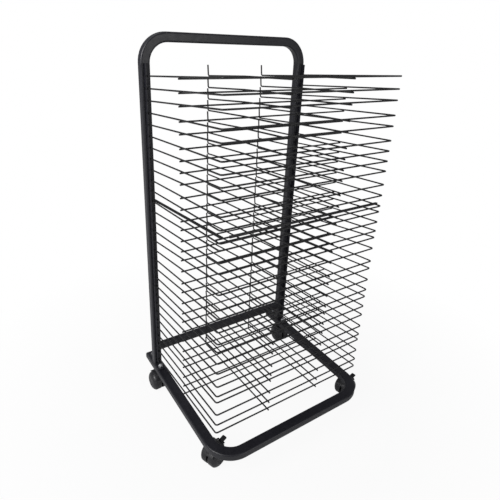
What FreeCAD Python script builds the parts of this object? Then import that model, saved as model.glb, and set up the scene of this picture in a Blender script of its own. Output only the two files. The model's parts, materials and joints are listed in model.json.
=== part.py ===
import FreeCAD, Part
import math
import os

# Art drying rack on castors: thirty wire shelves hinge on two posts that stand on a low
# base frame. Lengths are in millimetres and angles in degrees. X runs from left to right as
# seen from the front, Y to the rear and Z up. The origin is on the floor, midway between
# the two posts.

Vector = FreeCAD.Vector
LEFT, RIGHT = -1, 1
SIDES = (LEFT, RIGHT)

# ---- shelves: how many, how far apart and how each one rests --------------------------
shelf_pitch = 30.0
lowest_pivot_height = 119.4
# front-up tilt of each shelf at rest, from the top one down: bent wires never lie alike
shelf_tilts = [4.5, 4.5, 5, 4, 4.5, 3.5, 4, 4.5, 5, 4, 4, 4, 6, 6, 6.5,
               8, 7.5, 6, 7, 6, 5.5, 6.5, 6, 6, 4.5, 4.5, 6, 4.5, 4, 4.5]
shelf_count = len(shelf_tilts)

# ---- shelf wires, measured in the plane of the shelf from its pivot line ----------------
wire_diameter = 4.0
shelf_reach = 374.0
front_bend = 6.0
cross_wire_place = 191.7
cross_wire_overhang = 2.4
long_wire_spacing = 171.4
side_wire_outset = 0.1
finger_place = 18.0
finger_height = 27.1
finger_lean = 1.0
finger_bend = 5.0
long_wire_overhang = 2.0
long_wire_kink = 150.0
pin_bend = 2.6
pin_tail = 1.2

# ---- the shelf that carries the grip ------------------------------------------------------
grip_shelf = 12
grip_setback = 15.0
grip_diameter = 7.0
grip_bore_clearance = 0.15
grip_start_inset = 33.0
grip_end_gap = 0.5
brace_diameter = 7.0
brace_start = 10.0
brace_start_inset = 4.4
brace_end_inset = 15.6
brace_end_rise = 4.2
brace_end_gap = 0.2

# ---- hinge strips ---------------------------------------------------------------------------
pivot_setback = 6.5
strip_thickness = 2.0
strip_foot_width = 12.0
strip_side_gap = 0.4
strip_tail = 15.0
pin_clearance = 0.05
stop_start = 3.2
stop_length = 2.4
stop_thickness = 2.0
stop_past_wire = 0.6
stop_clearance = 0.3

# ---- back frame -----------------------------------------------------------------------------
frame_height = 1094.0
post_spacing = 497.0
post_size = 25.0
post_corner = 5.0
tube_wall = 1.5
top_bend = 62.5
crossbar_height = 25.0
crossbar_depth = 15.0
crossbar_corner = 3.0
crossbar_middle = 151.0
weld_fillet = 7.0
weld_depth = 9.0

# ---- base frame, foot plates and their bolts --------------------------------------------
castor_height = 70.0
base_tube_width = 30.0
base_tube_height = 20.0
base_corner = 4.0
base_bend = 65.0
base_front = 424.0
base_rear = 57.0
plate_width = 28.0
plate_thickness = 3.5
plate_rear = 52.0
bolt_diameter = 6.0
bolt_hole_clearance = 0.2
rear_bolt_place = 38.5
bolt_head_flats = 10.0
bolt_head_height = 4.0
bolt_tail = 1.0
nut_height = 5.0
thread_clearance = 0.05
cap_thickness = 3.0
cap_plug_length = 12.0
cap_plug_clearance = 0.1
cap_rounding = 1.0

# ---- castors: a twin wheel under a hood that swivels on a threaded stem ---------------------
wheel_diameter = 60.0
wheel_spacing = 5.0
tread_width = 16.0
wheel_dome = 9.0
wheel_face_diameter = 21.0
wheel_shoulder = 2.0
wheel_rim = 3.5
wheel_hub_diameter = 14.0
axle_diameter = 6.0
axle_cover = 4.0
axle_end_gap = 0.3
castor_trail = 17.5
running_clearance = 0.05
press_clearance = 0.02
hood_gap = 1.5
hood_wall = 2.5
hood_overhang = 1.0
hood_start_angle = 51.0
hood_end_angle = 150.0
web_thickness = 3.6
axle_boss_diameter = 13.0
axle_boss_gap = 0.3
stem_diameter = 8.0
stem_tail = 2.0
stem_collar_diameter = 20.0
stem_collar_height = 2.0
stem_pin_diameter = 8.0
stem_boss_diameter = 18.0
stem_boss_gap = 0.3
stem_boss_depth = 23.0
stem_pin_depth = 8.0
stem_nut_flats = 13.0
stem_nut_height = 6.5
front_castor_place = 360.0
rear_castor_place = 30.0

# each castor: side, how far in front of the posts it stands, and where its wheels trail,
# turned from straight back (0) towards the right (90)
castors = {
    "front_left": (LEFT, front_castor_place, 71.0),
    "front_right": (RIGHT, front_castor_place, 80.0),
    "rear_left": (LEFT, rear_castor_place, -3.0),
    "rear_right": (RIGHT, rear_castor_place, 10.0),
}
braked_castors = ("front_left", "front_right")

# ---- brake pedal on the front castors --------------------------------------------------------
pedal_angle = 34.0
pedal_radius = 35.5
pedal_barrel_diameter = 5.2
pedal_barrel_width = 18.0
pedal_pin_diameter = 2.4
pedal_side_gap = 0.3
pedal_ear_thickness = 2.2
pedal_tab_width = 9.0
pedal_tab_length = 17.0
pedal_tab_thickness = 3.0
pedal_tab_rise = 8.0
pedal_cam_diameter = 3.0
pedal_cam_offset = 3.2
pedal_cam_turn = 50.0

# ---- worked out from the sizes above ---------------------------------------------------------
wire_radius = wire_diameter / 2
post_x = post_spacing / 2
post_face_y = -post_size / 2
pivot_y = post_face_y - pivot_setback
side_wire_x = post_x + side_wire_outset
grip_place = shelf_reach - grip_setback
flange_inner_x = side_wire_x + pin_bend + strip_side_gap
flange_outer_x = flange_inner_x + strip_thickness
strip_front_y = pivot_y - stop_start - stop_length
base_bottom = castor_height
base_middle = base_bottom + base_tube_height / 2
base_top = base_bottom + base_tube_height
plate_top = base_top + plate_thickness
wheel_radius = wheel_diameter / 2
wheel_inner_x = wheel_spacing / 2
tread_outer_x = wheel_inner_x + tread_width
wheel_outer_x = tread_outer_x + wheel_dome
axle_end_x = wheel_outer_x - axle_cover
hood_inner_radius = wheel_radius + hood_gap
hood_outer_radius = hood_inner_radius + hood_wall
hood_half_width = tread_outer_x + hood_overhang
stem_collar_bottom = castor_height - stem_collar_height


def pivot_height(number):
    """Height of a shelf's pivot line; shelf 1 is the top one."""
    return lowest_pivot_height + (shelf_count - number) * shelf_pitch


# ---- general shapes --------------------------------------------------------------------------

def join(pieces):
    """One clean solid from pieces that touch or overlap."""
    return pieces[0].multiFuse(pieces[1:]).removeSplitter()


def box(low, high):
    """A box from its lowest to its highest corner."""
    size = high - low
    return Part.makeBox(size.x, size.y, size.z, low)


def rod(start, end, diameter):
    """A round bar from one point to another."""
    along = end - start
    return Part.makeCylinder(diameter / 2, along.Length, start, along)


def rounded_rectangle(width, height, corner):
    """A closed wire in the XY plane, centred on the origin, with round corners."""
    edges = []
    ends = []
    for quarter, (across, up) in enumerate(((1, 1), (-1, 1), (-1, -1), (1, -1))):
        centre = Vector(across * (width / 2 - corner), up * (height / 2 - corner), 0)
        points = []
        for step in range(3):
            angle = math.radians(90 * quarter + 45 * step)
            points.append(centre + Vector(math.cos(angle), math.sin(angle), 0) * corner)
        edges.append(Part.Arc(*points).toShape())
        ends.append((points[0], points[2]))
    sides = [Part.makeLine(ends[k - 1][1], ends[k][0]) for k in range(len(ends))]
    return Part.Wire(Part.__sortEdges__(edges + sides))


def tube_section(width, height, corner, wall):
    """The cross-section of a rectangular tube, as a face with a hole."""
    outer = Part.Face(rounded_rectangle(width, height, corner))
    inner = Part.Face(rounded_rectangle(width - 2 * wall, height - 2 * wall, corner - wall))
    return outer.cut(inner).Faces[0]


def round_section(diameter):
    """The cross-section of a wire."""
    return Part.Face(Part.Wire(Part.makeCircle(diameter / 2)))


def placed_section(section, point, along, normal):
    """A section moved to a point, facing along a run that is bent in the plane of normal."""
    side = normal.cross(along)
    turn = FreeCAD.Rotation(side, normal, along, "ZYX")
    moved = section.copy()
    moved.Placement = FreeCAD.Placement(point, turn)
    return moved


def bent_bar(section, corners, radii, normal):
    """A section run through corners, with a round bend of its own radius at each inner one."""
    pieces = []
    start = corners[0]
    along = (corners[1] - corners[0]).normalize()
    for corner, following, radius in zip(corners[1:], corners[2:], radii):
        onward = (following - corner).normalize()
        turn = along.getAngle(onward)
        trim = radius * math.tan(turn / 2)
        end = corner - along * trim
        face = placed_section(section, start, along, normal)
        pieces.append(face.extrude(end - start))
        axis = along.cross(onward).normalize()
        centre = end + axis.cross(along) * radius
        face = placed_section(section, end, along, normal)
        pieces.append(face.revolve(centre, axis, math.degrees(turn)))
        start = corner + onward * trim
        along = onward
    face = placed_section(section, start, along, normal)
    pieces.append(face.extrude(corners[-1] - start))
    return join(pieces)


def hexagon(flats, height, bottom):
    """A hexagonal prism on the point at the middle of its bottom."""
    across_corners = flats / math.cos(math.radians(30))
    points = []
    for step in range(7):
        angle = math.radians(60 * step)
        points.append(bottom + Vector(math.cos(angle), math.sin(angle), 0) * (across_corners / 2))
    return Part.Face(Part.makePolygon(points)).extrude(Vector(0, 0, height))


# ---- frames --------------------------------------------------------------------------------------

def back_frame():
    """The two posts and the top bar: one tube bent into an arch."""
    section = tube_section(post_size, post_size, post_corner, tube_wall)
    top = frame_height - post_size / 2
    corners = [Vector(-post_x, 0, plate_top), Vector(-post_x, 0, top),
               Vector(post_x, 0, top), Vector(post_x, 0, plate_top)]
    return bent_bar(section, corners, [top_bend, top_bend], Vector(0, 1, 0))


def weld(side, edge):
    """The hollow-faced weld between a post and the top (1) or bottom (-1) of the crossbar."""
    post_side = side * (post_x - post_size / 2)
    level = crossbar_middle + edge * crossbar_height / 2
    inward = -side * weld_fillet
    outward = edge * weld_fillet
    low = Vector(min(post_side, post_side + inward), -weld_depth / 2, min(level, level + outward))
    block = box(low, low + Vector(weld_fillet, weld_depth, weld_fillet))
    start = Vector(post_side + inward, -weld_depth / 2, level + outward)
    return block.cut(rod(start, start + Vector(0, weld_depth, 0), 2 * weld_fillet))


def crossbar():
    """The flat tube between the posts, with its welds."""
    section = tube_section(crossbar_depth, crossbar_height, crossbar_corner, tube_wall)
    reach = post_x - post_size / 2
    start = Vector(-reach, 0, crossbar_middle)
    face = placed_section(section, start, Vector(1, 0, 0), Vector(0, 0, 1))
    pieces = [face.extrude(Vector(2 * reach, 0, 0))]
    for side in SIDES:
        pieces.append(weld(side, 1))
        pieces.append(weld(side, -1))
    return join(pieces)


def bolt_places():
    """Where the bolts go through the foot plates, as points in the plan."""
    for side in SIDES:
        yield Vector(side * post_x, rear_bolt_place, 0)


def stem_nut_bottom(place):
    """A stem's nut is inside the base tube at the front and on the foot plate at the rear."""
    return plate_top if place == rear_castor_place else base_bottom + tube_wall


def stem_top(place):
    """Where the thread of a stem ends, a little above its nut."""
    return stem_nut_bottom(place) + stem_nut_height + stem_tail


def base_frame():
    """The wide tube bent into a U that is open at the rear."""
    section = tube_section(base_tube_width, base_tube_height, base_corner, tube_wall)
    corners = [Vector(-post_x, base_rear, base_middle), Vector(-post_x, -base_front, base_middle),
               Vector(post_x, -base_front, base_middle), Vector(post_x, base_rear, base_middle)]
    tube = bent_bar(section, corners, [base_bend, base_bend], Vector(0, 0, 1))
    holes = []
    for place in bolt_places():
        low = place + Vector(0, 0, base_bottom - tube_wall)
        high = place + Vector(0, 0, base_top + tube_wall)
        holes.append(rod(low, high, bolt_diameter + 2 * bolt_hole_clearance))
    for side, place, heading in castors.values():
        low = Vector(side * post_x, -place, base_bottom - tube_wall)
        high = Vector(side * post_x, -place, stem_top(place))
        holes.append(rod(low, high, stem_diameter + 2 * bolt_hole_clearance))
    return tube.cut(Part.makeCompound(holes))


def foot_plate(side):
    """The plate under a post: its round nose is held by the rear castor's stem, its tail by a bolt."""
    half = plate_width / 2
    centre = Vector(side * post_x, -rear_castor_place, base_top)
    nose = Part.makeCylinder(half, plate_thickness, centre)
    low = Vector(side * post_x - half, centre.y, base_top)
    high = Vector(side * post_x + half, plate_rear, plate_top)
    plate = join([nose, box(low, high)])
    bolt = Vector(side * post_x, rear_bolt_place, base_top)
    for hole, diameter in ((centre, stem_diameter), (bolt, bolt_diameter)):
        top = hole + Vector(0, 0, plate_thickness)
        plate = plate.cut(rod(hole, top, diameter + 2 * bolt_hole_clearance))
    return plate


def frame_bolt(place):
    """A hexagon bolt with its head on the foot plate and its tail below the nut."""
    seat = place + Vector(0, 0, plate_top)
    tip = place + Vector(0, 0, base_bottom - nut_height - bolt_tail)
    head = hexagon(bolt_head_flats, bolt_head_height, seat)
    corner_radius = bolt_head_flats / 2 + bolt_head_height
    crown = Part.makeCone(corner_radius, bolt_head_flats / 2, bolt_head_height, seat)
    return join([head.common(crown), rod(tip, seat, bolt_diameter)])


def nut(place, bottom, flats, height, bore):
    """A hexagon nut that stands on the given height."""
    seat = place + Vector(0, 0, bottom)
    body = hexagon(flats, height, seat)
    return body.cut(rod(seat, seat + Vector(0, 0, height), bore + 2 * thread_clearance))


def base_end_cap(side):
    """The plug in the rear end of a base tube."""
    plug_width = base_tube_width - 2 * (tube_wall + cap_plug_clearance)
    plug_height = base_tube_height - 2 * (tube_wall + cap_plug_clearance)
    plug_corner = base_corner - tube_wall - cap_plug_clearance
    cover = Part.Face(rounded_rectangle(base_tube_width, base_tube_height, base_corner))
    plug = Part.Face(rounded_rectangle(plug_width, plug_height, plug_corner))
    seat = Vector(side * post_x, base_rear, base_middle)
    rearward = Vector(0, 1, 0)
    cover = placed_section(cover, seat, rearward, Vector(0, 0, 1)).extrude(rearward * cap_thickness)
    rim = [edge for edge in cover.Edges if edge.CenterOfMass.y > base_rear + cap_thickness / 2]
    rim = [edge for edge in rim if edge.BoundBox.YLength < cap_thickness / 2]
    cover = cover.makeFillet(cap_rounding, rim)
    plug = placed_section(plug, seat, rearward, Vector(0, 0, 1)).extrude(rearward * -cap_plug_length)
    return join([cover, plug])


# ---- hinge strips ------------------------------------------------------------------------------

def stop(side, number):
    """The tab bent in from the strip, on which a shelf's side wire rests."""
    tilt = math.radians(shelf_tilts[number - 1])
    wire_underside = stop_start * math.tan(tilt) - wire_radius / math.cos(tilt)
    top = pivot_height(number) + wire_underside - stop_clearance
    reach = (flange_inner_x, side_wire_x - stop_past_wire)
    low = Vector(min(side * x for x in reach), strip_front_y, top - stop_thickness)
    high = Vector(max(side * x for x in reach), strip_front_y + stop_length, top)
    return box(low, high)


def hinge_strip(side):
    """The perforated angle on the front of a post, with a hole and a stop for every shelf."""
    bottom = pivot_height(shelf_count) - strip_tail
    top = pivot_height(1) + shelf_pitch
    xs = (flange_inner_x, flange_outer_x)
    flange = box(Vector(min(side * x for x in xs), strip_front_y, bottom),
                 Vector(max(side * x for x in xs), post_face_y, top))
    xs = (flange_outer_x - strip_foot_width, flange_outer_x)
    foot = box(Vector(min(side * x for x in xs), post_face_y - strip_thickness, bottom),
               Vector(max(side * x for x in xs), post_face_y, top))
    pieces = [flange, foot]
    holes = []
    for number in range(1, shelf_count + 1):
        pieces.append(stop(side, number))
        start = Vector(side * (flange_inner_x - strip_thickness), pivot_y, pivot_height(number))
        end = Vector(side * (flange_outer_x + strip_thickness), pivot_y, pivot_height(number))
        holes.append(rod(start, end, wire_diameter + 2 * pin_clearance))
    return join(pieces).cut(Part.makeCompound(holes))


# ---- shelves, in their own plane: the pivot line is the X axis and the front is towards -Y -----

def rim_wire():
    """The outer wire: a hinge pin, a side, the front, the other side and the other pin."""
    pin_end = flange_outer_x + pin_tail
    corners = [Vector(-pin_end, 0, 0), Vector(-side_wire_x, 0, 0),
               Vector(-side_wire_x, -shelf_reach, 0), Vector(side_wire_x, -shelf_reach, 0),
               Vector(side_wire_x, 0, 0), Vector(pin_end, 0, 0)]
    radii = [pin_bend, front_bend, front_bend, pin_bend]
    return bent_bar(round_section(wire_diameter), corners, radii, Vector(0, 0, 1))


def cross_wire(place, rise, overhang):
    """A straight wire from side to side, above or below the side wires."""
    end = Vector(side_wire_x + wire_radius + overhang, -place, rise)
    start = Vector(-end.x, end.y, end.z)
    return rod(start, end, wire_diameter)


def long_wire(side):
    """A wire from back to front, over the cross wire and under the front, with a raised finger."""
    x = side * long_wire_spacing / 2
    bend_point = cross_wire_place + wire_diameter
    slope = wire_diameter / (shelf_reach - bend_point)
    tip_place = shelf_reach + wire_radius + long_wire_overhang
    corners = [Vector(x, finger_lean - finger_place, finger_height), Vector(x, -finger_place, 0),
               Vector(x, -bend_point, 0), Vector(x, -tip_place, -slope * (tip_place - bend_point))]
    radii = [finger_bend, long_wire_kink]
    return bent_bar(round_section(wire_diameter), corners, radii, Vector(1, 0, 0))


def in_place(shape, number):
    """A shape from the plane of a shelf, tilted and lifted to where that shelf hangs."""
    moved = shape.copy()
    moved.rotate(Vector(0, 0, 0), Vector(1, 0, 0), -shelf_tilts[number - 1])
    moved.translate(Vector(0, pivot_y, pivot_height(number)))
    return moved


def grip_tube():
    """The thick sleeve on the extra front wire of the grip shelf."""
    start = Vector(grip_start_inset - side_wire_x, -grip_place, wire_diameter)
    end = Vector(side_wire_x - wire_radius - grip_end_gap, -grip_place, wire_diameter)
    bore = wire_diameter + 2 * grip_bore_clearance
    return rod(start, end, grip_diameter).cut(rod(start, end, bore))


def brace_rod():
    """The thick rod beside the left side wire, from the hinge to the extra front wire."""
    touching = (wire_diameter + brace_diameter) / 2 + press_clearance
    start_rise = math.sqrt(touching ** 2 - brace_start_inset ** 2)
    start = Vector(brace_start_inset - side_wire_x, -brace_start, start_rise)
    end_place = grip_place - wire_radius - brace_end_gap
    end = Vector(brace_end_inset - side_wire_x, -end_place, brace_end_rise)
    return rod(start, end, brace_diameter)


# ---- castors: the stem is the Z axis, the floor is at 0 and the wheels trail towards +Y ---------

def castor_stem(place):
    """The threaded stem with its collar and the pin on which the hood swivels."""
    pin_bottom = stem_collar_bottom - stem_pin_depth
    thread = rod(Vector(0, 0, castor_height), Vector(0, 0, stem_top(place)), stem_diameter)
    collar = rod(Vector(0, 0, stem_collar_bottom), Vector(0, 0, castor_height), stem_collar_diameter)
    pin = rod(Vector(0, 0, pin_bottom), Vector(0, 0, stem_collar_bottom), stem_pin_diameter)
    return join([thread, collar, pin])


def wheel_line(half_width, diameter):
    """A round bar on the axle line, as wide as stated to each side."""
    centre = Vector(0, castor_trail, wheel_radius)
    return rod(centre - Vector(half_width, 0, 0), centre + Vector(half_width, 0, 0), diameter)


def around_axle(angle, radius, x=0.0):
    """A point at an angle about the axle line: 0 is straight back and 90 is up."""
    turn = math.radians(angle)
    return Vector(x, castor_trail + radius * math.cos(turn), wheel_radius + radius * math.sin(turn))


def hood_sector(half_width, radius):
    """The wedge of a disc that the hood spans, from its trailing edge over the top."""
    centre = around_axle(0, 0, -half_width)
    middle_angle = (hood_start_angle + hood_end_angle) / 2
    start, middle, end = (around_axle(angle, radius, -half_width)
                          for angle in (hood_start_angle, middle_angle, hood_end_angle))
    edges = [Part.makeLine(centre, start), Part.Arc(start, middle, end).toShape(),
             Part.makeLine(end, centre)]
    return Part.Face(Part.Wire(edges)).extrude(Vector(2 * half_width, 0, 0))


def pedal_ears():
    """The two ears on the trailing edge of a braked hood."""
    pivot = around_axle(pedal_angle, pedal_radius)
    root = around_axle(hood_start_angle, (hood_inner_radius + hood_outer_radius) / 2)
    inner_x = pedal_barrel_width / 2 + pedal_side_gap
    outward = Vector(pedal_ear_thickness, 0, 0)
    ears = []
    for low_x in (inner_x, -inner_x - pedal_ear_thickness):
        eye_start = pivot + Vector(low_x, 0, 0)
        eye = rod(eye_start, eye_start + outward, pedal_barrel_diameter)
        root_start = root + Vector(low_x, 0, 0)
        heel = rod(root_start, root_start + outward, hood_wall)
        along = (pivot - root).normalize()
        across = Vector(1, 0, 0).cross(along)
        points = [root_start + across * (hood_wall / 2), eye_start + across * (pedal_barrel_diameter / 2),
                  eye_start - across * (pedal_barrel_diameter / 2), root_start - across * (hood_wall / 2)]
        link = Part.Face(Part.makePolygon(points + points[:1])).extrude(outward)
        hole = rod(eye_start, eye_start + outward, pedal_pin_diameter + 2 * running_clearance)
        ears.append(join([eye, heel, link]).cut(hole))
    return ears


def castor_hood(braked):
    """The moulded body: a hood over the wheels, a web between them and the stem's boss."""
    sector = hood_sector(hood_half_width, hood_outer_radius)
    boss_top = stem_collar_bottom - stem_boss_gap
    boss = rod(Vector(0, 0, boss_top - stem_boss_depth), Vector(0, 0, boss_top), stem_boss_diameter)
    shell = join([sector, boss]).cut(wheel_line(hood_half_width, 2 * hood_inner_radius))
    web = hood_sector(web_thickness / 2, hood_inner_radius + hood_wall / 2)
    axle_boss = wheel_line(wheel_inner_x - axle_boss_gap, axle_boss_diameter)
    pieces = [shell, web, axle_boss]
    if braked:
        pieces.extend(pedal_ears())
    body = join(pieces)
    pin_bottom = stem_collar_bottom - stem_pin_depth - stem_boss_gap
    bore = rod(Vector(0, 0, pin_bottom), Vector(0, 0, castor_height),
               stem_pin_diameter + 2 * running_clearance)
    body = body.cut(bore)
    return body.cut(wheel_line(wheel_inner_x, axle_diameter + 2 * press_clearance))


def castor_axle():
    """The axle that both wheels run on."""
    return wheel_line(axle_end_x, axle_diameter)


def on_tread(edge):
    """Whether an edge is one of the two circles that bound a wheel's tread."""
    is_circle = edge.Curve.TypeId == "Part::GeomCircle"
    return is_circle and abs(edge.Curve.Radius - wheel_radius) < running_clearance


def dome_line():
    """The outline of a wheel's domed outer face, from its tread to its flat middle."""
    face = wheel_face_diameter / 2
    middle_x = tread_outer_x + wheel_dome * math.sin(math.radians(45))
    middle = face + (wheel_radius - face) * math.cos(math.radians(45))
    return Part.Arc(Vector(tread_outer_x, wheel_radius, 0), Vector(middle_x, middle, 0),
                    Vector(wheel_outer_x, face, 0)).toShape()


def castor_wheel(side):
    """One wheel: a domed disc with a rim and a hub that is closed on the outside."""
    bore = axle_diameter / 2 + running_clearance
    hub = wheel_hub_diameter / 2
    rim = wheel_radius - wheel_rim
    end_x = axle_end_x + axle_end_gap
    outline = [(wheel_outer_x, wheel_face_diameter / 2), (wheel_outer_x, 0), (end_x, 0), (end_x, bore),
               (wheel_inner_x, bore), (wheel_inner_x, hub), (tread_outer_x, hub), (tread_outer_x, rim),
               (wheel_inner_x, rim), (wheel_inner_x, wheel_radius), (tread_outer_x, wheel_radius)]
    straight = Part.makePolygon([Vector(x, radius, 0) for x, radius in outline])
    face = Part.Face(Part.Wire(Part.__sortEdges__(straight.Edges + [dome_line()])))
    wheel = face.revolve(Vector(0, 0, 0), Vector(1, 0, 0), 360)
    shoulders = [edge for edge in wheel.Edges if on_tread(edge)]
    wheel = wheel.makeFillet(wheel_shoulder, shoulders)
    if side == LEFT:
        wheel = wheel.mirror(Vector(0, 0, 0), Vector(1, 0, 0))
    wheel.translate(Vector(0, castor_trail, wheel_radius))
    return wheel


def brake_pedal():
    """The pedal of a braked castor: barrel, pins, tab and the cam that meets the treads."""
    pivot = around_axle(pedal_angle, pedal_radius)
    half = Vector(pedal_barrel_width / 2, 0, 0)
    pin_half = half + Vector(pedal_side_gap + pedal_ear_thickness, 0, 0)
    barrel = rod(pivot - half, pivot + half, pedal_barrel_diameter)
    pin = rod(pivot - pin_half, pivot + pin_half, pedal_pin_diameter)
    inward = math.radians(180 + pedal_angle + pedal_cam_turn)
    cam_middle = pivot + Vector(0, math.cos(inward), math.sin(inward)) * pedal_cam_offset
    cam = rod(cam_middle - half, cam_middle + half, pedal_cam_diameter)
    low = pivot + Vector(-pedal_tab_width / 2, 0, -pedal_tab_thickness / 2)
    high = pivot + Vector(pedal_tab_width / 2, pedal_tab_length, pedal_tab_thickness / 2)
    tab = box(low, high)
    tab.rotate(pivot, Vector(1, 0, 0), pedal_tab_rise)
    return join([barrel, pin, cam, tab])


def under_base(shape, name):
    """A castor shape, turned to where its wheels trail and moved under the base."""
    side, place, heading = castors[name]
    moved = shape.copy()
    moved.rotate(Vector(0, 0, 0), Vector(0, 0, 1), -heading)
    moved.translate(Vector(side * post_x, -place, 0))
    return moved


# ---- the whole rack --------------------------------------------------------------------------------

def frame_nodes():
    """Everything that stands still, by name."""
    nut_bottom = base_bottom - nut_height
    bolts = [frame_bolt(place) for place in bolt_places()]
    nuts = [nut(place, nut_bottom, bolt_head_flats, nut_height, bolt_diameter)
            for place in bolt_places()]
    stem_nuts = [nut(Vector(side * post_x, -place, 0), stem_nut_bottom(place), stem_nut_flats,
                     stem_nut_height, stem_diameter) for side, place, heading in castors.values()]
    return {
        "back_frame": back_frame(),
        "crossbar": crossbar(),
        "hinge_strip_left": hinge_strip(LEFT),
        "hinge_strip_right": hinge_strip(RIGHT),
        "base_frame": base_frame(),
        "foot_plates": Part.makeCompound([foot_plate(side) for side in SIDES]),
        "frame_bolts": Part.makeCompound(bolts),
        "frame_nuts": Part.makeCompound(nuts),
        "castor_nuts": Part.makeCompound(stem_nuts),
        "base_end_caps": Part.makeCompound([base_end_cap(side) for side in SIDES]),
    }


def shelf_nodes():
    """The shelves, each a set of welded wires, and the two thick bars on the grip shelf."""
    wires = [rim_wire(), cross_wire(cross_wire_place, -wire_diameter, cross_wire_overhang),
             long_wire(LEFT), long_wire(RIGHT)]
    grip_wire = cross_wire(grip_place, wire_diameter, 0)
    nodes = {}
    for number in range(1, shelf_count + 1):
        own_wires = wires + [grip_wire] if number == grip_shelf else wires
        nodes[f"shelf_{number:02d}"] = in_place(Part.makeCompound(own_wires), number)
    nodes["grip_tube"] = in_place(grip_tube(), grip_shelf)
    nodes["brace_rod"] = in_place(brace_rod(), grip_shelf)
    return nodes


def castor_nodes():
    """The four castors, each as stem, hood, axle and wheels, and the two brake pedals."""
    wheels = Part.makeCompound([castor_wheel(side) for side in SIDES])
    nodes = {}
    for name, (side, place, heading) in castors.items():
        braked = name in braked_castors
        nodes[f"castor_{name}_stem"] = under_base(castor_stem(place), name)
        nodes[f"castor_{name}_hood"] = under_base(castor_hood(braked), name)
        nodes[f"castor_{name}_axle"] = under_base(castor_axle(), name)
        nodes[f"castor_{name}_wheels"] = under_base(wheels, name)
        if braked:
            nodes[f"castor_{name}_pedal"] = under_base(brake_pedal(), name)
    return nodes


def main():
    os.makedirs("parts", exist_ok=True)
    nodes = {**frame_nodes(), **shelf_nodes(), **castor_nodes()}
    for name, shape in nodes.items():
        shape.exportStep(f"parts/{name}.step")


main()
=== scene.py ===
# %% [markdown]
# # An art drying rack in black powder coat
#
# The rack is thirty wire shelves on a bent tube frame with castors. Its tubes and wires
# already have their true shape, so they come in as they are and get a finish. This lesson
# adds what a drawing leaves out: rounded moulding edges, turned wheels, weld beads, a studio
# and light. Every length below is in metres, and `MM` turns a workshop size into metres.

# %% Load the rack
import json
import math

import bmesh
import bpy
from mathutils import Matrix, Vector


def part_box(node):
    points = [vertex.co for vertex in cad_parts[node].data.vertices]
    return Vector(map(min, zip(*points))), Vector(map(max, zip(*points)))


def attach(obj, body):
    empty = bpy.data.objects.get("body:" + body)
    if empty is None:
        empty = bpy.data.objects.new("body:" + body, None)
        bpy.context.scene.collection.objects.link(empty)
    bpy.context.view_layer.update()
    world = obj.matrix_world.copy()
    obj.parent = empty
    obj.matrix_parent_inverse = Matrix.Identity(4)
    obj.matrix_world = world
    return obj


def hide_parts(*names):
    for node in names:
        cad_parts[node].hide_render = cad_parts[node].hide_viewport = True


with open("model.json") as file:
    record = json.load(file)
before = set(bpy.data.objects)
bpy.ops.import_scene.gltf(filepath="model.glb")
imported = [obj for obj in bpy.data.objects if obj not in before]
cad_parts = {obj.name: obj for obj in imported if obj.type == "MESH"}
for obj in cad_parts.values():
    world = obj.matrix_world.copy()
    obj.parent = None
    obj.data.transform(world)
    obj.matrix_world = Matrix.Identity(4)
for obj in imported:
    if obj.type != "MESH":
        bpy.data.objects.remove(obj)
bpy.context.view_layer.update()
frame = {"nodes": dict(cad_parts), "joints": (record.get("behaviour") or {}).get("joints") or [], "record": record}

MM = 0.001
joints = {joint["name"]: joint for joint in frame["joints"]}
slots = {part["node"]: part["material_slot"] for part in frame["record"]["subparts"]}
print("nodes:", len(frame["nodes"]), "joints:", len(joints))

# %% [markdown]
# ## The camera
#
# A product shot of a tall object is taken from above eye level, far enough away that the
# posts stay nearly upright. A camera needs only a place, a direction and a lens. The
# direction here is built from three angles, as on a tripod head: turn, tilt and roll.

# %% Place the camera
CAMERA_PLACE = Vector((-0.6693, -1.1099, 1.0873))
CAMERA_TURN = math.radians(34.26)
CAMERA_TILT = math.radians(22.23)
CAMERA_ROLL = math.radians(2.63)
CAMERA_LENS = 31.63
CAMERA_SHIFT = (0.0041, -0.0644)
CAMERA_REACH = 40.0

camera_data = bpy.data.cameras.new("camera")
camera_data.lens = CAMERA_LENS
camera_data.shift_x, camera_data.shift_y = CAMERA_SHIFT
camera_data.clip_end = CAMERA_REACH
camera = bpy.data.objects.new("camera", camera_data)
bpy.context.scene.collection.objects.link(camera)
turned = Matrix.Rotation(-CAMERA_TURN, 4, "Z")
tilted = Matrix.Rotation(math.radians(90) - CAMERA_TILT, 4, "X")
rolled = Matrix.Rotation(CAMERA_ROLL, 4, "Z")
camera.matrix_world = Matrix.Translation(CAMERA_PLACE) @ turned @ tilted @ rolled
bpy.context.scene.camera = camera
print("camera at", [round(value, 3) for value in CAMERA_PLACE])

# %% [markdown]
# ## Small helpers for materials
#
# A colour is given as a hex value, which is coded for a screen. Shaders calculate
# with light, so the value is turned to linear first. Another helper adds one node, sets it up
# and links it, which keeps a material readable from top to bottom.

# %% Colour and node helpers
SCREEN_KNEE = 0.04045


def linear(hex_colour):
    """A colour such as "1e1d22" as linear red, green, blue and alpha."""
    channels = [int(hex_colour[k:k + 2], 16) / 255 for k in (0, 2, 4)]
    return [c / 12.92 if c <= SCREEN_KNEE else ((c + 0.055) / 1.055) ** 2.4
            for c in channels] + [1.0]


def add(tree, kind, inputs=(), **settings):
    """Adds a node; inputs are pairs of a socket and a value or another node's output."""
    node = tree.nodes.new(kind)
    for name, value in settings.items():
        setattr(node, name, value)
    for socket, value in inputs:
        if isinstance(value, bpy.types.NodeSocket):
            tree.links.new(value, node.inputs[socket])
        else:
            node.inputs[socket].default_value = value
    return node


def new_material(name):
    """An empty material, its node tree and its output node."""
    material = bpy.data.materials.new(name)
    material.use_nodes = True
    material.node_tree.nodes.clear()
    output = material.node_tree.nodes.new("ShaderNodeOutputMaterial")
    return material, material.node_tree, output


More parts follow.
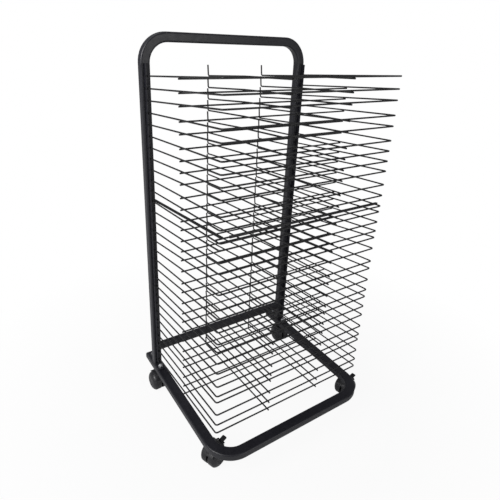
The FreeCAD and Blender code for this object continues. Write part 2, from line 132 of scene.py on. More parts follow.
def per_metre(size_mm):
    """A noise scale whose features are about that many millimetres across."""
    return 1 / (size_mm * MM)


print("mid grey is", [round(c, 3) for c in linear("808080")[:3]])

# %% [markdown]
# Moulded, sprayed and plated skins differ in their numbers, but each is drawn from the same
# few steps: a noise of some size, a colour and a roughness that follow it, and a fine relief.
# A noise seldom leaves its middle part, so that part is what is stretched over the roughness.

# %% Steps that every finish shares
NOISE_LOW, NOISE_HIGH = 0.3, 0.7


def noise(tree, place, size_mm, detail, *more):
    """A noise with features of about one size; its output is between 0 and 1."""
    inputs = [("Vector", place), ("Scale", per_metre(size_mm)), ("Detail", detail), *more]
    return add(tree, "ShaderNodeTexNoise", inputs).outputs["Fac"]


def colour_between(tree, factor, dark, light):
    """A colour that goes from dark to light as the factor rises."""
    mixed = add(tree, "ShaderNodeMix", [("Factor", factor), (6, linear(dark)), (7, linear(light))],
                data_type="RGBA")
    return mixed.outputs[2]


def stretched(tree, value, low, high):
    """The middle part of a noise, stretched to run from low to high."""
    inputs = [("Value", value), ("From Min", NOISE_LOW), ("From Max", NOISE_HIGH),
              ("To Min", low), ("To Max", high)]
    return add(tree, "ShaderNodeMapRange", inputs).outputs["Result"]


def relief(tree, height, strength, depth_mm):
    """Tilts the surface's normal as if the height stood out by that many millimetres."""
    inputs = [("Height", height), ("Strength", strength), ("Distance", depth_mm * MM)]
    return add(tree, "ShaderNodeBump", inputs).outputs["Normal"]


def covered(tree, output, **inputs):
    """Ends a material with one principled surface."""
    sockets = [(name.replace("_", " "), value) for name, value in inputs.items()]
    skin = add(tree, "ShaderNodeBsdfPrincipled", sockets)
    tree.links.new(skin.outputs["BSDF"], output.inputs["Surface"])


def object_place(tree):
    """Each point's place on the object, for the noises."""
    return add(tree, "ShaderNodeTexCoord").outputs["Object"]


print("a 2 mm noise has scale", per_metre(2.0))

# %% [markdown]
# ## Finishes
#
# Everything here is black, so the finishes differ by gloss and grain, not by colour:
#
# * **Powder coat on tube** is sprayed as dry powder and baked. It flows into a satin skin
#   with a faint waviness like orange peel, which breaks up the reflections.
# * **Powder coat on wire** is thinner on so small a round, and looks a little darker and duller.
# * **Moulded nylon** has the fine eroded grain of its mould and scatters light widely.
# * **Zinc plating** is a bright metal with faint cloudy passivation. It dulls on the bolts of
#   the frame, which stand in the open and are knocked by shoes and boxes.
# * **PVC sleeve** is extruded, with fine lines along its length.
#
# The real orange peel is about 2 mm across, too fine to show at this distance. So it is
# drawn twice: once at its size for close views, and once coarser in the roughness.

# %% Powder coat
PEEL_MM = 2.2
PEEL_STRENGTH = 0.6
MOTTLE_MM = 14.0
MOTTLE_GRAIN = 0.6
SMOOTHER, ROUGHER = 0.05, 0.07
IOR_POLYESTER = 1.5


def powder_coat(name, light, dark, roughness, peel_depth_mm):
    """Baked polyester powder: nearly black, satin, with orange peel."""
    material, tree, output = new_material(name)
    place = object_place(tree)
    mottle = noise(tree, place, MOTTLE_MM, 3.0, ("Roughness", MOTTLE_GRAIN))
    peel = noise(tree, place, PEEL_MM, 1.0)
    covered(tree, output, Base_Color=colour_between(tree, mottle, dark, light),
            Roughness=stretched(tree, mottle, roughness - SMOOTHER, roughness + ROUGHER),
            Normal=relief(tree, peel, PEEL_STRENGTH, peel_depth_mm), IOR=IOR_POLYESTER)
    return material


tube_coat = powder_coat("powder coated steel tube", "1f1f26", "16161b", 0.36, 0.10)
wire_coat = powder_coat("powder coated steel wire", "121213", "0c0c0d", 0.42, 0.05)
print("made", tube_coat.name, "and", wire_coat.name)

# %% Moulded nylon
MOULD_GRAIN_MM = 0.6
MOULD_DEPTH_MM = 0.04
MOULD_STRENGTH = 0.5
FLOW_MM = 9.0
FLOW_BEND = 0.8
FLOW_GLOSS = 0.06
IOR_NYLON = 1.53


def moulded_nylon(name, light, dark, roughness):
    """Injection moulded nylon: spark-eroded grain and soft flow clouds."""
    material, tree, output = new_material(name)
    place = object_place(tree)
    flow = noise(tree, place, FLOW_MM, 2.0, ("Distortion", FLOW_BEND))
    grain = noise(tree, place, MOULD_GRAIN_MM, 2.0)
    covered(tree, output, Base_Color=colour_between(tree, flow, dark, light),
            Roughness=stretched(tree, flow, roughness - FLOW_GLOSS, roughness + FLOW_GLOSS),
            Normal=relief(tree, grain, MOULD_STRENGTH, MOULD_DEPTH_MM), IOR=IOR_NYLON)
    return material


hood_nylon = moulded_nylon("black moulded nylon", "1e1e22", "151518", 0.5)
wheel_nylon = moulded_nylon("black nylon wheel", "222225", "17171a", 0.38)
print("made", hood_nylon.name, "and", wheel_nylon.name)

# %% Zinc plating
CLOUD_MM = 4.0
ZINC_ROUGHNESS = (0.38, 0.52)


def zinc_plate(name, light, dark):
    """Electroplated zinc: a metal with cloudy passivation."""
    material, tree, output = new_material(name)
    cloud = noise(tree, object_place(tree), CLOUD_MM, 3.0)
    covered(tree, output, Base_Color=colour_between(tree, cloud, dark, light),
            Roughness=stretched(tree, cloud, *ZINC_ROUGHNESS), Metallic=1.0)
    return material


zinc = zinc_plate("bright zinc plated steel", "eceded", "c6c8ca")
dull_zinc = zinc_plate("dulled zinc plated steel", "bcbdbe", "9ea0a1")
print("made", zinc.name, "and", dull_zinc.name)

# %% PVC sleeve
EXTRUSION_LINE_MM = 0.9
LINE_STRETCH = (0.02, 1.0, 1.0)
LINE_DEPTH_MM = 0.05
LINE_STRENGTH = 0.5
PVC_ROUGHNESS = 0.5
IOR_PVC = 1.54


def extruded_pvc(name):
    """A soft black sleeve with die lines along its length, which runs along X here."""
    material, tree, output = new_material(name)
    drawn = add(tree, "ShaderNodeMapping", [("Vector", object_place(tree)),
                                            ("Scale", LINE_STRETCH)])
    lines = noise(tree, drawn.outputs["Vector"], EXTRUSION_LINE_MM, 1.0)
    covered(tree, output, Base_Color=colour_between(tree, lines, "141415", "1e1e20"),
            Roughness=PVC_ROUGHNESS, IOR=IOR_PVC,
            Normal=relief(tree, lines, LINE_STRENGTH, LINE_DEPTH_MM))
    return material


sleeve_pvc = extruded_pvc("black PVC sleeve")
print("made", sleeve_pvc.name)

# %% Dress every node that keeps its own shape
finishes = {
    "coated_tube": tube_coat,
    "coated_wire": wire_coat,
    "grip": sleeve_pvc,
    "zinc_steel": zinc,
    "black_nylon": hood_nylon,
    "wheel_nylon": wheel_nylon,
}
DULLED = ("frame_bolts", "frame_nuts")


def finish_of(name):
    """The material of a node: its slot's, or the dulled kind for the bolts of the frame."""
    return dull_zinc if name in DULLED else finishes[slots[name]]


for name, node in frame["nodes"].items():
    for material_slot in node.material_slots:
        material_slot.material = finish_of(name)
print("finishes in use:", sorted(set(slots.values())))

# %% [markdown]
# ## From a bmesh to a piece
#
# Each new piece is shaped in a bmesh and then handed to one function, which makes the
# object, smooths it up to a crease angle and lets it ride on its body.

# %% A helper that finishes a piece
CREASE = math.radians(38)


def piece_from(bm, name, body, slot, material=None, crease=CREASE):
    """Turns a bmesh into an object that rides on a body and has a slot's finish."""
    mesh = bpy.data.meshes.new(name)
    bm.to_mesh(mesh)
    bm.free()
    mesh.materials.append(material or finishes[slot])
    mesh.shade_smooth()
    mesh.set_sharp_from_angle(angle=crease)
    piece = bpy.data.objects.new(name, mesh)
    bpy.context.scene.collection.objects.link(piece)
    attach(piece, body)
    return piece


bodies = {name: body for body, names in frame["record"]["behaviour"]["bodies"].items()
          for name in names}
print("bodies:", len(set(bodies.values())))

# %% [markdown]
# ## Edges that are not razor sharp
#
# Mouldings, pressings and nuts never have sharp edges, and it is the small rounded edge
# that catches the light. The drawn solid has the right form, so a merged copy of it only
# needs its sharp edges bevelled.

# %% Soften the small solid pieces
MERGE = 0.002 * MM
FLAT = math.radians(1.0)
SHARP = math.radians(32)
EDGE_SEGMENTS = 2


def softened(node, width_mm):
    """A copy of a node with its sharp edges rounded off, which stands for that node."""
    bm = bmesh.new()
    bm.from_mesh(frame["nodes"][node].data)
    bmesh.ops.remove_doubles(bm, verts=bm.verts, dist=MERGE)
    bmesh.ops.dissolve_limit(bm, angle_limit=FLAT, verts=bm.verts, edges=bm.edges,
                             use_dissolve_boundaries=False)
    sharp = [e for e in bm.edges if len(e.link_faces) == 2 and e.calc_face_angle(0) > SHARP]
    bmesh.ops.bevel(bm, geom=sharp, offset=width_mm * MM, offset_type="OFFSET",
                    segments=EDGE_SEGMENTS, profile=0.5, affect="EDGES", clamp_overlap=True,
                    material=-1)
    bmesh.ops.remove_doubles(bm, verts=bm.verts, dist=MERGE)
    piece = piece_from(bm, f"{node}_finished", bodies[node], slots[node], finish_of(node))
    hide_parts(node)
    return piece


EDGE_MM = {"hood": 0.5, "pedal": 0.4, "foot_plates": 0.6, "base_end_caps": 0.4,
           "frame_bolts": 0.3, "frame_nuts": 0.3, "castor_nuts": 0.4, "grip_tube": 0.5,
           "hinge_strip_left": 0.3, "hinge_strip_right": 0.3}

for node in frame["nodes"]:
    for ending, width in EDGE_MM.items():
        if node.endswith(ending):
            softened(node, width)
print("softened pieces:", sum(node.endswith(tuple(EDGE_MM)) for node in frame["nodes"]))

# %% [markdown]
# ## Wheels
#
# A wheel is turned round its axle, so its section is drawn once and spun. The outer face is a
# dome with a flat cap in its middle, which a fine ring sets off. The back is hollow between
# rim and hub, as a moulded wheel is, to keep its walls even. The two corners of the tread are
# rounded after the spin, with a bevel.

# %% Turn a section as on a lathe
def lathe(points, axis, steps):
    """A bmesh turned round an axis from a section in the XZ plane, as on a lathe."""
    bm = bmesh.new()
    verts = [bm.verts.new((x, 0, z)) for x, z in points]
    outline = [bm.edges.new(pair) for pair in zip(verts, verts[1:])]
    bmesh.ops.spin(bm, geom=verts + outline, cent=(0, 0, 0), axis=axis, dvec=(0, 0, 0),
                   angle=math.radians(360), steps=steps, use_merge=True)
    bmesh.ops.remove_doubles(bm, verts=bm.verts, dist=MERGE)
    return bm


washer = lathe([(1, 0), (2, 0)], (0, 0, 1), 8)
print("a line turned in 8 steps has", len(washer.faces), "faces")
washer.free()

# %% Find where a castor stands
CASTORS = ("front_left", "front_right", "rear_left", "rear_right")


def castor_place(name):
    """The matrix from a castor's own frame, its axle along X and its wheels at +Y, to the rack."""
    stem = Vector(joints[f"castor_{name}_swivel"]["pos_m"])
    axle = joints[f"castor_{name}_roll"]["axis"]
    turn = Matrix.Rotation(math.atan2(axle[1], axle[0]), 4, "Z")
    return Matrix.Translation((stem.x, stem.y, 0)) @ turn


def hub_in_castor(name):
    """The middle of the axle in the castor's own frame."""
    return castor_place(name).inverted() @ Vector(joints[f"castor_{name}_roll"]["pos_m"])


def wheel_radius(name):
    """The radius of a castor's wheels, which is how high their axle stands."""
    return joints[f"castor_{name}_roll"]["pos_m"][2]


for name in CASTORS:
    print(name, "wheels trail by", round(hub_in_castor(name).y / MM, 1), "mm")

# %% Draw a wheel's section
WHEEL_INNER = 2.5 * MM
TREAD_OUTER = 18.5 * MM
WHEEL_OUTER = 27.5 * MM
CAP_RADIUS = 10.5 * MM
RING_INNER, RING_FLOOR, RING_OUTER = 8.9 * MM, 9.4 * MM, 10.0 * MM
RING_DEPTH = 0.6 * MM
RIM_THICKNESS = 3.5 * MM
HUB_RADIUS = 7.0 * MM
AXLE_RADIUS = 3.05 * MM
AXLE_END = 23.8 * MM
DOME_STEPS = 14


def arc_through(start, middle, end, steps):
    """Points on the circle through three points of a section, ends included."""
    a, b, c = Vector(start), Vector(middle), Vector(end)
    twice = 2 * ((b.x - a.x) * (c.y - a.y) - (b.y - a.y) * (c.x - a.x))
    to_b, to_c = (b - a).length_squared, (c - a).length_squared
    centre = a + Vector(((c.y - a.y) * to_b - (b.y - a.y) * to_c,
                         (b.x - a.x) * to_c - (c.x - a.x) * to_b)) / twice
    spoke = a - centre
    turn = spoke.angle_signed(c - centre)
    return [centre + Matrix.Rotation(-turn * k / steps, 2) @ spoke for k in range(steps + 1)]


def wheel_section(radius):
    """A wheel's section as (across, out), from its middle outside round to its bore."""
    diagonal = math.sqrt(0.5)
    bulge = (TREAD_OUTER + (WHEEL_OUTER - TREAD_OUTER) * diagonal,
             CAP_RADIUS + (radius - CAP_RADIUS) * diagonal)
    dome = arc_through((WHEEL_OUTER, CAP_RADIUS), bulge, (TREAD_OUTER, radius), DOME_STEPS)
    cap = [(WHEEL_OUTER, 0), (WHEEL_OUTER, RING_INNER), (WHEEL_OUTER - RING_DEPTH, RING_FLOOR),
           (WHEEL_OUTER - RING_DEPTH, RING_OUTER)]
    back = [(WHEEL_INNER, radius), (WHEEL_INNER, radius - RIM_THICKNESS),
            (TREAD_OUTER, radius - RIM_THICKNESS), (TREAD_OUTER, HUB_RADIUS),
            (WHEEL_INNER, HUB_RADIUS), (WHEEL_INNER, AXLE_RADIUS), (AXLE_END, AXLE_RADIUS),
            (AXLE_END, 0)]
    return cap + [tuple(point) for point in dome] + back


print("points in a wheel's section:", len(wheel_section(wheel_radius(CASTORS[0]))))

# %% Spin the wheels
WHEEL_STEPS = 80
WHEEL_CREASE = math.radians(28)
SHOULDER = 1.8 * MM
SHOULDER_SEGMENTS = 4


def out_from_axle(vert):
    """How far a vertex lies from the X axis."""
    return math.hypot(vert.co.y, vert.co.z)


def wheels(name):
    """Both wheels of a castor in one piece."""
    radius = wheel_radius(name)
    bm = lathe(wheel_section(radius), (1, 0, 0), WHEEL_STEPS)
    corners = [e for e in bm.edges if all(abs(out_from_axle(v) - radius) < MERGE for v in e.verts)
               and abs(e.verts[0].co.x - e.verts[1].co.x) < MERGE]
    bmesh.ops.bevel(bm, geom=corners, offset=SHOULDER, offset_type="OFFSET",
                    segments=SHOULDER_SEGMENTS, profile=0.5, affect="EDGES", clamp_overlap=True,
                    material=-1)
    bmesh.ops.mirror(bm, geom=bm.verts[:] + bm.edges[:] + bm.faces[:], axis="X", merge_dist=-1)
    bmesh.ops.recalc_face_normals(bm, faces=bm.faces)
    place = castor_place(name) @ Matrix.Translation(hub_in_castor(name))
    bmesh.ops.transform(bm, matrix=place, verts=bm.verts)
    piece = piece_from(bm, f"castor_{name}_turned_wheels", f"castor_{name}_wheels", "wheel_nylon",
                       crease=WHEEL_CREASE)
    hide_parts(f"castor_{name}_wheels")
    return piece


for name in CASTORS:
    made = wheels(name)
print("a pair of wheels has", len(made.data.polygons), "faces")

# %% [markdown]
# ## Castor stems
#
# A stem is turned and then threaded. A true thread is a helix, but at a pitch of 1.25 mm a
# stack of rings can't be told from it, and rings come out of the same spin as the collar.

# %% Turn the stems
PIN_RADIUS = 4.0 * MM
THREAD_RADIUS = 4.0 * MM
THREAD_DEPTH = 0.55 * MM
THREAD_PITCH = 1.25 * MM
CREST_START, CREST_END = 0.4, 0.6
COLLAR_RADIUS = 10.0 * MM
COLLAR_HEIGHT = 2.0 * MM
COLLAR_EDGE = 0.4 * MM
STEM_STEPS = 40


def stem_section(bottom, collar_bottom, collar_top, top):
    """A stem's section as (out, up): pin, collar, thread and a chamfered tip."""
    points = [(0, bottom), (PIN_RADIUS, bottom), (PIN_RADIUS, collar_bottom),
              (COLLAR_RADIUS - COLLAR_EDGE, collar_bottom),
              (COLLAR_RADIUS, collar_bottom + COLLAR_EDGE),
              (COLLAR_RADIUS, collar_top - COLLAR_EDGE),
              (COLLAR_RADIUS - COLLAR_EDGE, collar_top)]
    tip = top - THREAD_DEPTH
    turns = round((tip - collar_top) / THREAD_PITCH)
    pitch = (tip - collar_top) / turns
    for k in range(turns):
        root = collar_top + k * pitch
        points += [(THREAD_RADIUS - THREAD_DEPTH, root),
                   (THREAD_RADIUS, root + CREST_START * pitch),
                   (THREAD_RADIUS, root + CREST_END * pitch)]
    return points + [(THREAD_RADIUS - THREAD_DEPTH, tip),
                     (THREAD_RADIUS - 2 * THREAD_DEPTH, top), (0, top)]


def turned_stem(name):
    """A castor's stem with its collar and thread."""
    node = f"castor_{name}_stem"
    low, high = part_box(node)
    base_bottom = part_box("base_frame")[0][2]
    section = stem_section(low[2], base_bottom - COLLAR_HEIGHT, base_bottom, high[2])
    bm = lathe(section, (0, 0, 1), STEM_STEPS)
    bmesh.ops.recalc_face_normals(bm, faces=bm.faces)
    bmesh.ops.transform(bm, matrix=castor_place(name), verts=bm.verts)
    piece = piece_from(bm, f"castor_{name}_turned_stem", bodies[node], "zinc_steel")
    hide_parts(node)
    return piece


for name in CASTORS:
    made = turned_stem(name)
print("a stem has", len(made.data.polygons), "faces")

# %% [markdown]
# ## Small beads and balls
#
# Weld beads, wire tips and the grip ribs of a pedal are all small rounded lumps that sit on
# a bigger piece. One flattened ball does for every one of them. It has only a few dozen
# faces, because the rack needs hundreds of such balls.

# %% A flattened ball and a row of them
BALL_AROUND, BALL_UP = 8, 5
BALL_CREASE = math.radians(80)
LAP = 1.1


def ball(bm, matrix, across, along, thick):
    """A flattened ball with a few dozen faces."""
    shape = matrix @ Matrix.Diagonal((across, along, thick, 1))
    bmesh.ops.create_uvsphere(bm, u_segments=BALL_AROUND, v_segments=BALL_UP, radius=1.0,
                              matrix=shape)


def bead(bm, start, end, width, step):
    """A weld bead: a row of balls that overlap like a stack of coins, from start to end."""
    start, end = Vector(start), Vector(end)
    count = max(2, round((end - start).length / step))
    lie = (end - start).to_track_quat("X", "Z").to_matrix().to_4x4()
    for k in range(count + 1):
        place = Matrix.Translation(start.lerp(end, k / count)) @ lie
        ball(bm, place, step * LAP, width / 2, width / 2)


print("faces in a ball:", BALL_AROUND * BALL_UP)

# %% [markdown]
# ## Shelf welds and wire tips
#
# Crossing wires are resistance welded: the two rounds sink a little into each other and
# squeeze out a small collar. The wires are cut to length before that, and the powder draws
# back from a cut edge and rounds it, so each free tip gets a low dome.

# %% Find how each shelf lies
WIRE_RADIUS = 2.0 * MM
SIDE_WIRE = 248.6 * MM
LONG_WIRE = 85.7 * MM
CROSS_WIRE = 191.7 * MM
CROSS_TIP = 253.0 * MM
GRIP_WIRE = 359.0 * MM
SHELF_REACH = 374.0 * MM
WELD_RADIUS = 2.6 * MM
WELD_RISE = 1.2 * MM
TIP_DOME = 0.6 * MM
FINGER = Vector((LONG_WIRE, -17.0 * MM, 27.1 * MM))


def shelf_plane(node, joint):
    """The matrix from a shelf's own plane, its pivot on X and its front towards -Y, to the rack."""
    pivot = Vector(joints[joint]["pos_m"])
    outside = (LONG_WIRE + SIDE_WIRE) / 2
    rim = [v.co for v in frame["nodes"][node].data.vertices if abs(v.co.x) > outside]
    furthest = min(rim, key=lambda point: point.y)
    tilt = math.atan2(furthest.z - pivot.z, pivot.y - furthest.y)
    return Matrix.Translation(pivot) @ Matrix.Rotation(-tilt, 4, "X")


def crossings(has_grip):
    """Where wires touch on a shelf, in its own plane."""
    for side in (-1, 1):
        yield Vector((side * SIDE_WIRE, -CROSS_WIRE, -WIRE_RADIUS))
        yield Vector((side * LONG_WIRE, -CROSS_WIRE, -WIRE_RADIUS))
        yield Vector((side * LONG_WIRE, -SHELF_REACH, -WIRE_RADIUS))
        if has_grip:
            yield Vector((side * SIDE_WIRE, -GRIP_WIRE, WIRE_RADIUS))


grip_shelf = bodies["grip_tube"]
shelf_names = sorted(node for node in frame["nodes"] if node.startswith("shelf_"))
planes = {node: shelf_plane(node, f"{node}_lift") for node in shelf_names}
print("shelves:", len(planes))

# %% Weld beads and domed tips
for node, plane in planes.items():
    bm = bmesh.new()
    for point in crossings(bodies[node] == grip_shelf):
        ball(bm, plane @ Matrix.Translation(point), WELD_RADIUS, WELD_RADIUS, WELD_RISE)
    for side in (-1, 1):
        tip = plane @ Matrix.Translation((side * CROSS_TIP, -CROSS_WIRE, -2 * WIRE_RADIUS))
        ball(bm, tip, TIP_DOME, WIRE_RADIUS, WIRE_RADIUS)
        tip = plane @ Matrix.Translation((side * FINGER.x, FINGER.y, FINGER.z))
        ball(bm, tip, WIRE_RADIUS, WIRE_RADIUS, TIP_DOME)
    piece_from(bm, f"{node}_welds", bodies[node], "coated_wire", crease=BALL_CREASE)
print("weld beads and tips on", len(planes), "shelves")

# %% [markdown]
# ## Welds of the frame
#
# Three kinds of weld hold the frame. The posts are welded all round to their foot plates, the
# crossbar has an upright seam on its front and rear at each end, and the hinge strips are
# spot welded, which leaves a row of shallow round dents with a raised rim.

# %% Weld the posts to their foot plates
POST_X = 248.5 * MM
POST_HALF = 12.5 * MM
POST_CORNER = 5.0 * MM
SEAM_WIDTH = 2.6 * MM
SEAM_STEP = 1.7 * MM
CORNER_STEP = 15
plate_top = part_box("back_frame")[0][2]

for side in (-1, 1):
    bm = bmesh.new()
    straight = POST_HALF - POST_CORNER
    for quarter in range(4):
        spin = Matrix.Translation((side * POST_X, 0, plate_top)) @ Matrix.Rotation(
            math.radians(90) * quarter, 4, "Z")
        bead(bm, spin @ Vector((POST_HALF, -straight, 0)), spin @ Vector((POST_HALF, straight, 0)),
             SEAM_WIDTH, SEAM_STEP)
        for angle in range(CORNER_STEP, 90, CORNER_STEP):
            turn = Matrix.Rotation(math.radians(angle), 4, "Z")
            out = Vector((straight, straight, 0)) + turn @ Vector((POST_CORNER, 0, 0))
            place = spin @ Matrix.Translation(out) @ turn
            ball(bm, place, SEAM_WIDTH / 2, SEAM_STEP * LAP, SEAM_WIDTH / 2)
    piece_from(bm, f"foot_weld_{'left' if side < 0 else 'right'}", bodies["back_frame"],
               "coated_tube", crease=BALL_CREASE)
print("post feet welded at", round(plate_top / MM, 1), "mm")

# %% Weld the crossbar's ends
low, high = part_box("crossbar")
BAR_HALF_HEIGHT = 12.5 * MM
BAR_CORNER = 3.0 * MM
bar_middle = (low[2] + high[2]) / 2

bm = bmesh.new()
for x in (low[0], high[0]):
    for y in (low[1], high[1]):
        bead(bm, (x, y, bar_middle - BAR_HALF_HEIGHT + BAR_CORNER),
             (x, y, bar_middle + BAR_HALF_HEIGHT - BAR_CORNER), SEAM_WIDTH, SEAM_STEP)
piece_from(bm, "crossbar_seams", bodies["crossbar"], "coated_tube", crease=BALL_CREASE)
print("crossbar welded at height", round(bar_middle / MM, 1), "mm")

# %% Spot weld the hinge strips
SPOT_RADIUS = 2.6 * MM
SPOT_RIM = 0.35 * MM
SPOT_SPACING = 90.0 * MM
SPOT_SIDES = 20
SPOT_INSETS = ((0.4 * MM, 0.4 * SPOT_RIM), (0.5 * MM, 0.0), (0.5 * MM, -SPOT_RIM))
SPOT_FROM_POST_FACE = 2.0 * MM
SPOT_FROM_STRIP_EDGE = 7.0 * MM


def spot_weld(bm, centre):
    """A shallow spot weld on a face that looks towards -Y: a raised ring round a flat dent."""
    facing = Matrix.Translation(centre) @ Matrix.Rotation(math.radians(90), 4, "X")
    disc = bmesh.ops.create_cone(bm, cap_ends=True, segments=SPOT_SIDES, radius1=SPOT_RADIUS,
                                 radius2=SPOT_RADIUS, depth=2 * SPOT_RIM, matrix=facing)
    caps = {f for v in disc["verts"] for f in v.link_faces if len(f.verts) > 4}
    face = min(caps, key=lambda f: f.calc_center_median().y)
    for inset, rise in SPOT_INSETS:
        bmesh.ops.inset_region(bm, faces=[face], thickness=inset)
        bmesh.ops.translate(bm, verts=face.verts, vec=(0, -rise, 0))


for side in ("left", "right"):
    low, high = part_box(f"hinge_strip_{side}")
    sign = -1 if side == "left" else 1
    x = sign * (max(abs(low[0]), abs(high[0])) - SPOT_FROM_STRIP_EDGE)
    y = -POST_HALF - SPOT_FROM_POST_FACE
    count = int((high[2] - low[2]) / SPOT_SPACING)
    margin = (high[2] - low[2] - (count - 1) * SPOT_SPACING) / 2
    bm = bmesh.new()
    for k in range(count):
        spot_weld(bm, (x, y, low[2] + margin + k * SPOT_SPACING))
    piece_from(bm, f"strip_spots_{side}", bodies[f"hinge_strip_{side}"], "coated_tube")
print("spot welds on a strip:", count)

# %% [markdown]
# ## Pads on the pedals
#
# A shoe has to find the brake pedal and not slip off it. So a pad with a rounded edge is
# moulded round its tab, wider than the tab itself, and ribs run across the pad.

# %% Pad and rib the brake pedals
PEDAL_ANGLE = math.radians(34.0)
PEDAL_RADIUS = 35.5 * MM
TAB_RISE = math.radians(8.0)
PAD_START = 1.6 * MM
PAD_END = 16.6 * MM
PAD_WIDTH = 13.8 * MM
PAD_THICKNESS = 4.2 * MM
PAD_EDGE = 1.2 * MM
PAD_SEGMENTS = 3
RIB_PLACES = (7.5 * MM, 9.6 * MM, 11.7 * MM, 13.8 * MM)
RIB_HALF_SIZE = (5.0 * MM, 0.55 * MM, 0.45 * MM)

for name in ("front_left", "front_right"):
    hub = hub_in_castor(name)
    pivot = hub + PEDAL_RADIUS * Vector((0, math.cos(PEDAL_ANGLE), math.sin(PEDAL_ANGLE)))
    tab = castor_place(name) @ Matrix.Translation(pivot) @ Matrix.Rotation(TAB_RISE, 4, "X")
    pad = tab @ Matrix.Translation((0, (PAD_START + PAD_END) / 2, 0))
    size = (PAD_WIDTH, PAD_END - PAD_START, PAD_THICKNESS, 1)
    bm = bmesh.new()
    bmesh.ops.create_cube(bm, size=1.0, matrix=pad @ Matrix.Diagonal(size))
    bmesh.ops.bevel(bm, geom=bm.edges[:], offset=PAD_EDGE, offset_type="OFFSET",
                    segments=PAD_SEGMENTS, profile=0.5, affect="EDGES")
    piece_from(bm, f"castor_{name}_pedal_pad", bodies[f"castor_{name}_pedal"], "black_nylon")
    bm = bmesh.new()
    for along in RIB_PLACES:
        ball(bm, tab @ Matrix.Translation((0, along, PAD_THICKNESS / 2)), *RIB_HALF_SIZE)
    piece_from(bm, f"castor_{name}_pedal_ribs", bodies[f"castor_{name}_pedal"], "black_nylon",
               crease=BALL_CREASE)
print("ribs on each pedal:", len(RIB_PLACES))

# %% [markdown]
# ## Studio
#
# The floor is a wide pale disc. Close to the rack it takes the shadow; further out, what the
# camera sees of it fades into the white of the backdrop, so no horizon shows. Reflections see
# a share of that white too, or the far floor would look dark in the tubes. The lamps are
# large and soft and sit at a plain level. The strong one is on the left, because the left side
# of every tube is the brightest. The one in front leaves a soft gradient along the top bar.

# %% Floor and backdrop
FLOOR_RADIUS = 12.0
FLOOR_SIDES = 64
FLOOR_ROUGHNESS = 0.9
TO_RACK_MIDDLE = (0.0, 0.2, 0.0)
FADE_START, FADE_END = 0.45, 1.1
NEAR_SHARE = 0.93
GLOSS_START, GLOSS_END = 0.7, 2.4
GLOSS_FAR = 0.35


def floor_material():
    """Pale matt floor that fades to plain white away from the rack, for the camera."""
    material, tree, output = new_material("pale studio floor")
    centred = add(tree, "ShaderNodeMapping", [("Vector", object_place(tree)),
                                              ("Location", TO_RACK_MIDDLE)])
    distance = add(tree, "ShaderNodeVectorMath", [(0, centred.outputs["Vector"])],
                   operation="LENGTH")
    fade = add(tree, "ShaderNodeMapRange", [("Value", distance.outputs["Value"]),
                                            ("From Min", FADE_START), ("From Max", FADE_END),
                                            ("To Min", NEAR_SHARE), ("To Max", 1.0)])
    far = add(tree, "ShaderNodeMapRange", [("Value", distance.outputs["Value"]),
                                           ("From Min", GLOSS_START), ("From Max", GLOSS_END),
                                           ("To Min", 0.0), ("To Max", GLOSS_FAR)])
    path = add(tree, "ShaderNodeLightPath")
    in_gloss = add(tree, "ShaderNodeMath", [(0, far.outputs["Result"]),
                                            (1, path.outputs["Is Glossy Ray"])],
                   operation="MULTIPLY")
    share = add(tree, "ShaderNodeMath", [(0, fade.outputs["Result"]),
                                         (1, path.outputs["Is Camera Ray"]),
                                         (2, in_gloss.outputs["Value"])],
                operation="MULTIPLY_ADD")
    matt = add(tree, "ShaderNodeBsdfPrincipled", [("Base Color", linear("e0e0e0")),
                                                  ("Roughness", FLOOR_ROUGHNESS)])
    white = add(tree, "ShaderNodeEmission", [("Strength", 1.0)])
    mixed = add(tree, "ShaderNodeMixShader", [(0, share.outputs["Value"]),
                                              (1, matt.outputs["BSDF"]),
                                              (2, white.outputs["Emission"])])
    tree.links.new(mixed.outputs["Shader"], output.inputs["Surface"])
    return material


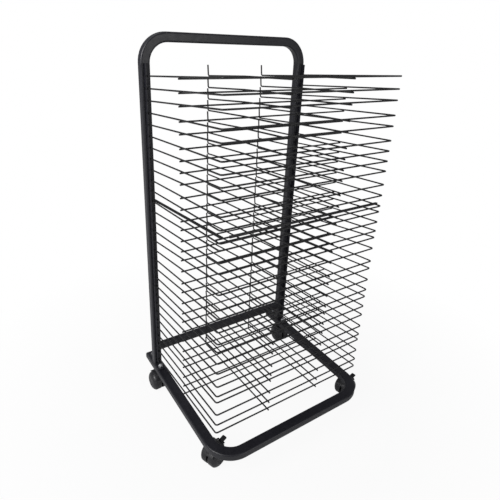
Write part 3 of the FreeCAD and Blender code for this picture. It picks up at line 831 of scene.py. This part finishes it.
bm = bmesh.new()
bmesh.ops.create_circle(bm, cap_ends=True, segments=FLOOR_SIDES, radius=FLOOR_RADIUS)
floor_mesh = bpy.data.meshes.new("floor")
bm.to_mesh(floor_mesh)
bm.free()
floor_mesh.materials.append(floor_material())
floor = bpy.data.objects.new("floor", floor_mesh)
bpy.context.scene.collection.objects.link(floor)
print("floor radius:", FLOOR_RADIUS)

# %% World
GLOSS_SHARE = 0.06

world = bpy.data.worlds.new("studio")
world.use_nodes = True
tree = world.node_tree
tree.nodes.clear()
path = add(tree, "ShaderNodeLightPath")
gloss_sees = add(tree, "ShaderNodeMath", [(0, path.outputs["Is Glossy Ray"]), (1, GLOSS_SHARE),
                                          (2, path.outputs["Is Camera Ray"])],
                 operation="MULTIPLY_ADD", use_clamp=True)
sees_white = add(tree, "ShaderNodeMath", [(0, gloss_sees.outputs["Value"]),
                                          (1, path.outputs["Is Transmission Ray"])],
                 operation="MAXIMUM")
room = add(tree, "ShaderNodeBackground", [("Color", linear("6e6e72")), ("Strength", 1.0)])
white = add(tree, "ShaderNodeBackground", [("Color", linear("ffffff")), ("Strength", 1.0)])
backdrop = add(tree, "ShaderNodeMixShader", [(0, sees_white.outputs["Value"]),
                                             (1, room.outputs["Background"]),
                                             (2, white.outputs["Background"])])
add(tree, "ShaderNodeOutputWorld", [("Surface", backdrop.outputs["Shader"])])
bpy.context.scene.world = world
print("world:", world.name)


# %% Lamps
def softbox(name, place, target, size, power):
    """A square soft lamp at a place, facing a target."""
    data = bpy.data.lights.new(name, "AREA")
    data.size = size
    data.energy = power
    lamp = bpy.data.objects.new(name, data)
    bpy.context.scene.collection.objects.link(lamp)
    place = Vector(place)
    aim = (Vector(target) - place).to_track_quat("-Z", "Y")
    lamp.matrix_world = Matrix.Translation(place) @ aim.to_matrix().to_4x4()
    return lamp


RACK_MIDDLE = (0.0, -0.2, 0.5)
lamps = [
    softbox("key on the left", (-2.7, -0.4, 2.1), RACK_MIDDLE, 1.8, 75),
    softbox("fill in front", (0.75, -3.2, 1.2), RACK_MIDDLE, 2.0, 22),
    softbox("overhead", (-0.4, 0.3, 3.2), RACK_MIDDLE, 2.4, 14),
]
print("lamps:", len(lamps))

# %% Finish
bpy.context.scene.view_settings.view_transform = "Standard"
